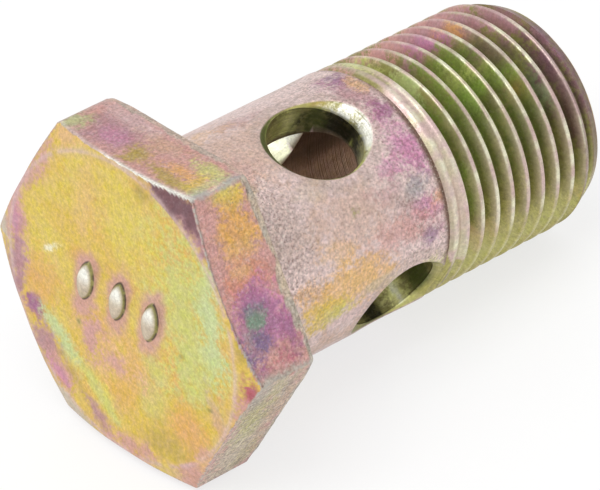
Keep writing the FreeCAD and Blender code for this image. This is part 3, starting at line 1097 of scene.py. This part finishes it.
def attribute(tree, name, output):
    """One of the values that the paint left on the mesh."""
    return node(tree, "ShaderNodeAttribute", attribute_name=name).outputs[output]


def remap(tree, source, low, high, to_low, to_high):
    """The source's values from low to high spread over another range, and held at its ends."""
    new = node(tree, "ShaderNodeMapRange")
    for name, value in (("From Min", low), ("From Max", high), ("To Min", to_low), ("To Max", to_high)):
        new.inputs[name].default_value = value
    tree.links.new(source, new.inputs["Value"])
    return new.outputs["Result"]


def combined(tree, operation, first, second):
    """Two values put together by the named kind of arithmetic."""
    new = node(tree, "ShaderNodeMath", operation=operation)
    tree.links.new(first, new.inputs[0])
    tree.links.new(second, new.inputs[1])
    return new.outputs["Value"]


def product(tree, first, second):
    """One value times the other."""
    return combined(tree, "MULTIPLY", first, second)


# Where the colours are among the sockets of a Mix node
MIX_BELOW = 6
MIX_ABOVE = 7
MIX_RESULT = 2


def over(tree, factor, below, above):
    """Lays one colour over another by a factor. A plain tuple stands for a fixed colour."""
    new = node(tree, "ShaderNodeMix", data_type="RGBA")
    tree.links.new(factor, new.inputs["Factor"])
    for socket, value in ((new.inputs[MIX_BELOW], below), (new.inputs[MIX_ABOVE], above)):
        if isinstance(value, tuple):
            socket.default_value = value
        else:
            tree.links.new(value, socket)
    return new.outputs[MIX_RESULT]


def noise(tree, coordinate, scale, detail, roughness=0.55):
    """Random blotches from 0 to 1, finer for a greater scale."""
    new = node(tree, "ShaderNodeTexNoise", scale=scale, detail=detail, roughness=roughness)
    tree.links.new(coordinate, new.inputs["Vector"])
    return new.outputs["Fac"]


def bump(tree, height, strength, below=None, invert=False):
    """Relief by a height, on top of the relief below it."""
    new = node(tree, "ShaderNodeBump", strength=strength, distance=RELIEF, invert=invert)
    tree.links.new(height, new.inputs["Height"])
    if below is not None:
        tree.links.new(below, new.inputs["Normal"])
    return new.outputs["Normal"]


def adjusted(tree, colour, **sources):
    """A colour with its hue, saturation or value changed by the sources, as much as Fac says."""
    new = node(tree, "ShaderNodeHueSaturation")
    for name, source in sources.items():
        tree.links.new(source, new.inputs[name])
    tree.links.new(colour, new.inputs["Color"])
    return new.outputs["Color"]


# How deep the plating's relief is, in metres, how much it is of metal, and the colours of its marks
RELIEF = 0.0001
METALLIC = 0.7
STAIN = (0.28, 0.17, 0.15, 1)
PIT = (0.10, 0.08, 0.07, 1)
BRIGHT_FLECK = (0.84, 0.78, 0.68, 1)
BARE_METAL = (0.52, 0.50, 0.45, 1)
TOOL_MARK = (0.10, 0.08, 0.03, 1)


def film_colour(tree, place, blotches, specks, pitted):
    """The two layers of paint in a fine mixture, with uneven hue and lightness."""
    either = remap(tree, noise(tree, place, 2600, 3, 0.65), 0.42, 0.58, 0, 1)
    colour = over(tree, either, attribute(tree, "paint", "Color"), attribute(tree, "over_paint", "Color"))
    uneven = remap(tree, noise(tree, place, 2900, 2), 0.3, 0.7, 0.90, 1.10)
    colour = adjusted(
        tree, colour,
        Hue=remap(tree, blotches, 0.3, 0.7, 0.492, 0.508),
        Saturation=remap(tree, blotches, 0.3, 0.7, 0.94, 1.07),
        Value=product(tree, remap(tree, specks, 0.3, 0.7, 0.87, 1.12), uneven),
    )
    grainy = remap(tree, noise(tree, place, 4200, 3, 0.6), 0.36, 0.64, 0.6, 1.3)
    return adjusted(tree, colour, Value=grainy, Fac=pitted)


def marked_colour(tree, place, colour, pit, worn, pitted):
    """The film with stains, pits and bright flecks, and bare metal where it is worn."""
    stain = product(tree, remap(tree, noise(tree, place, 4800, 3, 0.6), 0.52, 0.68, 0, 0.9), pitted)
    bright = product(tree, remap(tree, noise(tree, place, 4400, 3), 0.56, 0.68, 0, 0.5), pitted)
    rub = product(tree, worn, remap(tree, noise(tree, place, 3000, 3), 0.38, 0.6, 0, 1))
    for factor, mark in ((stain, STAIN), (pit, PIT), (bright, BRIGHT_FLECK), (rub, BARE_METAL)):
        colour = over(tree, factor, colour, mark)
    return colour


def plating_material():
    """Worn yellow-chromated zinc: the painted colour, broken up by grain, pits, wear and tool marks."""
    material, tree, shader = new_material("plating")
    split = node(tree, "ShaderNodeSeparateColor")
    tree.links.new(attribute(tree, "state", "Color"), split.inputs["Color"])
    worn, pitted, tooled = (split.outputs[i] for i in range(3))
    place = node(tree, "ShaderNodeTexCoord").outputs["Object"]
    blotches = noise(tree, place, 1400, 3)
    specks = noise(tree, place, 5200, 3, 0.7)
    pit = product(tree, remap(tree, noise(tree, place, 7400, 1, 0.4), 0.68, 0.75, 0, 1), pitted)
    rings = node(tree, "ShaderNodeTexNoise", noise_dimensions="1D", scale=9, detail=3)
    tree.links.new(attribute(tree, "grain", "Fac"), rings.inputs["W"])
    ring = rings.outputs["Fac"]

    colour = film_colour(tree, place, blotches, specks, pitted)
    colour = marked_colour(tree, place, colour, pit, worn, pitted)
    colour = over(tree, product(tree, remap(tree, ring, 0.45, 0.7, 0, 0.45), tooled), colour, TOOL_MARK)
    tree.links.new(colour, shader.inputs["Base Color"])
    shader.inputs["Metallic"].default_value = METALLIC
    tree.links.new(remap(tree, blotches, 0.3, 0.7, 0.36, 0.52), shader.inputs["Roughness"])
    relief = bump(tree, specks, 0.18)
    relief = bump(tree, pit, 0.35, relief, invert=True)
    relief = bump(tree, product(tree, ring, tooled), 0.4, relief)
    tree.links.new(relief, shader.inputs["Normal"])
    return material


bolt.data.materials.append(plating_material())

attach(bolt, "root")
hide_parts("banjo_bolt")

# Floor, sky and lamp
FLOOR_SIZE = 4.0
FLOOR_COLOUR = (0.9, 0.9, 0.9, 1)
WHITE = (1, 1, 1, 1)
WHITE_SHARE = 0.72
SKY_STRENGTH = 0.85
LAMP_PLACE = (-0.20, -0.05, 0.45)
LAMP_AIM = (0, 0, 0.012)
LAMP_SIZE = 0.32
LAMP_POWER = 1.1


def floor_material():
    """A pale floor. The camera and reflections see most of it as plain white, the rest is its shadows."""
    material, tree, plain = new_material("white_floor")
    plain.inputs["Base Color"].default_value = FLOOR_COLOUR
    glow = node(tree, "ShaderNodeEmission", Color=WHITE, Strength=1.0)
    rays = node(tree, "ShaderNodeLightPath").outputs
    seen = combined(tree, "MAXIMUM", rays["Is Camera Ray"], rays["Is Glossy Ray"])
    mixed = node(tree, "ShaderNodeMixShader")
    tree.links.new(remap(tree, seen, 0, 1, 0, WHITE_SHARE), mixed.inputs["Fac"])
    tree.links.new(plain.outputs["BSDF"], mixed.inputs[1])
    tree.links.new(glow.outputs["Emission"], mixed.inputs[2])
    tree.links.new(mixed.outputs["Shader"], tree.nodes["Material Output"].inputs["Surface"])
    return material


def make_floor():
    """The flat surface that the bolt lies on."""
    corners = [(FLOOR_SIZE * x, FLOOR_SIZE * y, 0) for x, y in ((-1, -1), (1, -1), (1, 1), (-1, 1))]
    floor = new_object("floor", corners, [(0, 1, 2, 3)])
    floor.data.materials.append(floor_material())
    return floor


def make_sky():
    """Even white light from all round."""
    world = bpy.data.worlds.new("studio")
    bpy.context.scene.world = world
    world.use_nodes = True
    background = world.node_tree.nodes["Background"]
    background.inputs["Color"].default_value = WHITE
    background.inputs["Strength"].default_value = SKY_STRENGTH


def make_lamp():
    """A square soft light, turned towards the bolt."""
    data = bpy.data.lights.new("key", "AREA")
    data.size = LAMP_SIZE
    data.energy = LAMP_POWER
    lamp = bpy.data.objects.new("key", data)
    lamp.location = LAMP_PLACE
    lamp.rotation_euler = (Vector(LAMP_AIM) - Vector(LAMP_PLACE)).to_track_quat("-Z", "Y").to_euler()
    bpy.context.scene.collection.objects.link(lamp)


floor = make_floor()
make_sky()
make_lamp()
bpy.context.scene.view_settings.view_transform = "Standard"
